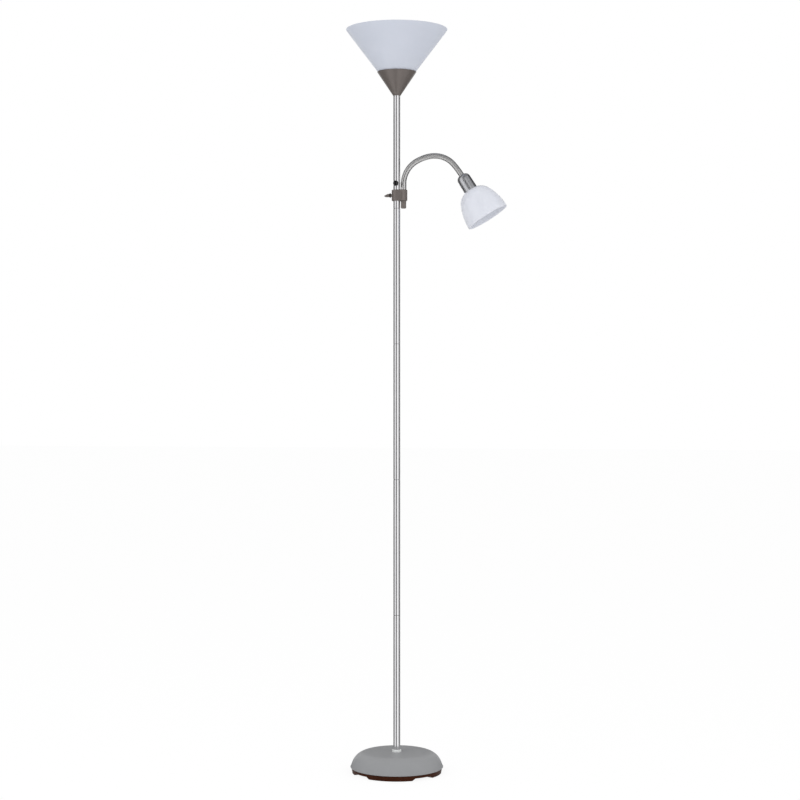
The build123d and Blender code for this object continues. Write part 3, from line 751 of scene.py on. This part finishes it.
def makeBell():
    shoulderSteps, flareSteps = bellSettings["curveSteps"]
    shoulder = arcThrough(bellSettings["shoulder"], shoulderSteps)
    flare = arcThrough(bellSettings["flare"], flareSteps)
    outline = [(bellSettings["hole"], 0.0)] + shoulder + flare[1:]
    bell = spunPiece("readingShade", outline, steps=bellSettings["steps"], closed=False)
    addModifier(bell, "wall", "SOLIDIFY", thickness=bellSettings["wall"], offset=-1.0)
    addModifier(
        bell, "lip", "BEVEL", width=bellSettings["lip"], segments=bellSettings["lipSegments"],
        limit_method="ANGLE", angle_limit=radians(50),
    )
    applyModifiers(bell)
    smoothShade(bell, 40)
    bakePlace(bell, headPlace @ Matrix.Translation((0, 0, bellSettings["top"])))
    return bell


finishPiece(makeBell(), "reading_head", "frosted_glass", "reading_shade")
print("reading shade made")


# the screw rings that hold the shades, with a ribbed grip
wallSettings = {"tilt": 0.2, "reach": 0.0003}  # how far a wall's face may lean and lie from it


def raiseRibs(piece, count, low, high, radius, height):
    # every other face of the wall at this radius stands out, between two heights
    startEdit(piece)
    bpy.ops.mesh.select_all(action="DESELECT")
    mesh = bmesh.from_edit_mesh(piece.data)
    for face in mesh.faces:
        middle = face.calc_center_median()
        share = (atan2(middle.y, middle.x) / (2 * pi)) % 1
        steep = abs(face.normal.z) < wallSettings["tilt"]
        onWall = abs(middle.xy.length - radius) < wallSettings["reach"]
        outward = face.normal.xy.dot(middle.xy) > 0
        if steep and onWall and outward and low < middle.z < high:
            face.select = int(share * count * 2) % 2 == 0
    bmesh.update_edit_mesh(piece.data)
    bpy.ops.mesh.extrude_region_shrink_fatten(TRANSFORM_OT_shrink_fatten={"value": height})
    endEdit()
    smoothShade(piece, 30)


ringSettings = {
    "uplight": {
        "hole": 0.0197, "grip": 0.0214, "flange": 0.0249, "flangeHeight": 0.0015,
        "ribs": 36, "place": upright, "body": "root",
    },
    "reading": {
        "hole": 0.0143, "grip": 0.0158, "flange": 0.0185, "flangeHeight": 0.0018,
        "ribs": 30, "place": headPlace, "body": "reading_head",
    },
}
ringEdges = {"flange": (0.0005, 0.0006), "corner": 0.0002, "top": (0.0003, 0.0004), "rib": 0.0005}


def makeShadeRing(name, ring):
    low, high = axialReach(f"{name}_shade_ring", ring["place"])
    shoulder = low + ring["flangeHeight"]
    flange, grip, corner = ring["flange"], ring["grip"], ringEdges["corner"]
    flangeIn, flangeUp = ringEdges["flange"]
    topIn, topDown = ringEdges["top"]
    outline = [
        (ring["hole"], low),
        (flange - flangeIn, low),
        (flange, low + flangeUp),
        (flange - corner, shoulder - corner),
        (grip + corner, shoulder),
        (grip, shoulder + corner),
        (grip, high - topDown),
        (grip - topIn, high),
        (ring["hole"], high),
    ]
    piece = spunPiece(f"{name}ShadeRing", outline, steps=ring["ribs"] * 2)
    raiseRibs(piece, ring["ribs"], shoulder + corner, high - topDown, grip, ringEdges["rib"])
    bakePlace(piece, ring["place"])
    return piece


for name, ring in ringSettings.items():
    finishPiece(makeShadeRing(name, ring), ring["body"], "white_plastic", f"{name}_shade_ring")
print("shade rings made")

# main switch knob: a turned button with a dished face and a fluted side
knobSettings = {
    "radius": 0.0065,
    "back": 0.0093,
    "front": 0.0198,
    "flutes": 28,
    "fluteRise": 0.00018,
    "fluteRoom": 0.0002,
    "fluteFoot": 0.0008,
    "fluteTop": 0.0032,
    # (radius, depth under the face): the dish
    "dish": [(0.0, 0.0007), (0.0018, 0.0006), (0.0032, 0.0002), (0.0038, 0.0)],
    "edgeRadius": 0.0022,
    "edgeRoom": 0.0024,
    "edgeArc": (84, 8, 7),  # from the face to the side, and its number of edges
    "backEdge": 0.0005,
    "skirt": (0.0008, 0.0035),  # the open back's wall and depth
    "spindle": (0.0021, 0.005),  # the spindle hole's radius and depth
}


def makeKnob():
    knob = knobSettings
    radius, back, front = knob["radius"], knob["back"], knob["front"]
    side = radius - knob["fluteRoom"]
    fluteLow, fluteHigh = back + knob["fluteFoot"], front - knob["fluteTop"]
    skirtWall, skirtDepth = knob["skirt"]
    spindleRadius, spindleDepth = knob["spindle"]
    outline = [(dishRadius, front - depth) for dishRadius, depth in knob["dish"]]
    edgeCentre = (radius - knob["edgeRoom"], front - knob["edgeRoom"])
    outline += arcPoints(edgeCentre, knob["edgeRadius"], *knob["edgeArc"])
    outline += [
        (side, fluteHigh),
        (side, fluteLow),
        (radius - knob["backEdge"], back),
        (radius - skirtWall, back),
        (radius - skirtWall, back + skirtDepth),
        (spindleRadius, back + skirtDepth),
        (spindleRadius, back + spindleDepth),
        (0, back + spindleDepth),
    ]
    piece = spunPiece("mainSwitchKnob", outline, steps=knob["flutes"] * 2, closed=False)
    raiseRibs(piece, knob["flutes"], fluteLow, fluteHigh, side, knob["fluteRise"])
    height = joints["main_switch"]["pos_m"][2]
    bakePlace(piece, Matrix.Translation((0, 0, height)) @ Matrix.Rotation(radians(90), 4, "X"))
    return piece


finishPiece(makeKnob(), joints["main_switch"]["child"], "black_gloss", "main_switch_knob")
print("knob made")

# studio: white floor and surroundings, with grey cloths that only reflections see
studioSettings = {
    "worldLevel": 0.88,
    "floorSize": 40.0,
    "floorGrey": 0.86,
    "floorGlow": 0.9,
    "clothLift": 0.003,
    "clothNear": 0.13,
    "clothDistance": 2.6,
    "clothHeight": 5.0,
    "clothSteps": 16,
    "clothBlue": 1.02,  # a cloth's blue, as a share of its level
    # upright cloths: direction in degrees from the front, width in degrees, level
    "cloths": [
        (-5, 34, 0.12), (68, 28, 0.5), (-44, 22, 0.8),
        (127, 62, 0.06), (-106, 68, 0.05), (189, 28, 0.10),
    ],
    "canopyHeight": 4.6,
    "canopyRadius": 7.0,
    "canopySides": 48,
    "canopyLevel": 0.25,
    "lamps": {
        "keyLamp": {"place": (-1.9, -2.6, 3.1), "aim": (0, 0, 1.0), "size": (2.2, 1.6), "watts": 27},
        "fillLamp": {"place": (2.6, -2.0, 2.0), "aim": (0, 0, 1.1), "size": (1.8, 1.8), "watts": 12},
    },
}


def lightPathMask(tree):
    # 1 where the camera, a reflection or a transmission looks
    path = addNode(tree, "LightPath").outputs
    seen = mathNode(tree, "MAXIMUM", path["Is Camera Ray"], path["Is Glossy Ray"])
    return mathNode(tree, "MAXIMUM", seen, path["Is Transmission Ray"])


def makeWorld():
    world = bpy.data.worlds.new("studio")
    scene.world = world
    world.use_nodes = True
    background = world.node_tree.nodes["Background"]
    background.inputs["Color"].default_value = (1, 1, 1, 1)
    seen = lightPathMask(world.node_tree)
    strength = rangeNode(world.node_tree, seen, end=(studioSettings["worldLevel"], 1.0))
    world.node_tree.links.new(strength, background.inputs["Strength"])


def blankMaterial(name):
    # a material with only its output, and the socket that takes the surface
    material = bpy.data.materials.new(name)
    material.use_nodes = True
    tree = material.node_tree
    tree.nodes.clear()
    return material, tree, addNode(tree, "OutputMaterial").inputs["Surface"]


def makeFloor():
    # white to the view, a plain grey to bounced light, and it keeps the object's shadow
    deselectAll()
    bpy.ops.mesh.primitive_plane_add(size=studioSettings["floorSize"])
    floor = bpy.context.object
    floor.name = "floor"
    material, tree, surface = blankMaterial("whiteFloor")
    seen = lightPathMask(tree)
    grey = rangeNode(tree, seen, end=(studioSettings["floorGrey"], 1.0))
    share = mathNode(tree, "MULTIPLY", seen, studioSettings["floorGlow"])
    mixed = addNode(tree, "MixShader", {
        "Fac": share,
        1: addNode(tree, "BsdfDiffuse", {"Color": grey}).outputs["BSDF"],
        2: addNode(tree, "Emission").outputs["Emission"],
    })
    tree.links.new(mixed.outputs["Shader"], surface)
    floor.data.materials.append(material)


def hangCloth(cloth, grey):
    # a cloth that only reflections see
    material, tree, surface = blankMaterial(cloth.name)
    blue = grey * studioSettings["clothBlue"]
    glow = addNode(tree, "Emission", {"Color": (grey, grey, blue, 1)})
    tree.links.new(glow.outputs["Emission"], surface)
    cloth.data.materials.append(material)
    cloth.visible_camera = cloth.visible_diffuse = cloth.visible_shadow = False
    cloth.visible_transmission = cloth.visible_volume_scatter = False


def makeCloth(name, direction, width, grey):
    # a curved cloth that lies on the floor beside the lamp and stands up at its far end
    near, far = studioSettings["clothNear"], studioSettings["clothDistance"]
    tall, lift = studioSettings["clothHeight"], studioSettings["clothLift"]
    cloth = lineOf(name, [(near, lift), (far, lift), (far, tall)], closed=False)
    bpy.ops.mesh.select_all(action="SELECT")
    # with no window, rotate and spin both turn clockwise
    start = radians(90 - direction - width / 2)
    bpy.ops.transform.rotate(value=start, orient_axis="Z", center_override=(0, 0, 0))
    steps = studioSettings["clothSteps"]
    bpy.ops.mesh.spin(steps=steps, angle=radians(width), center=(0, 0, 0), axis=(0, 0, 1))
    endEdit()
    hangCloth(cloth, grey)


def makeCanopy():
    deselectAll()
    bpy.ops.mesh.primitive_circle_add(
        radius=studioSettings["canopyRadius"], vertices=studioSettings["canopySides"],
        fill_type="NGON", location=(0, 0, studioSettings["canopyHeight"]),
    )
    canopy = bpy.context.object
    canopy.name = "canopy"
    hangCloth(canopy, studioSettings["canopyLevel"])


def makeLamp(name, lamp):
    deselectAll()
    place, aim = Vector(lamp["place"]), Vector(lamp["aim"])
    turned = (aim - place).to_track_quat("-Z", "Y").to_euler()
    bpy.ops.object.light_add(type="AREA", location=place, rotation=turned)
    softbox = bpy.context.object
    softbox.name = name
    softbox.data.shape = "RECTANGLE"
    softbox.data.size, softbox.data.size_y = lamp["size"]
    softbox.data.energy = lamp["watts"]
    softbox.visible_glossy = False


makeWorld()
makeFloor()
for number, (direction, width, grey) in enumerate(studioSettings["cloths"]):
    makeCloth(f"cloth{number + 1}", direction, width, grey)
makeCanopy()
for name, lamp in studioSettings["lamps"].items():
    makeLamp(name, lamp)
scene.view_settings.view_transform = "Standard"
print("studio set")
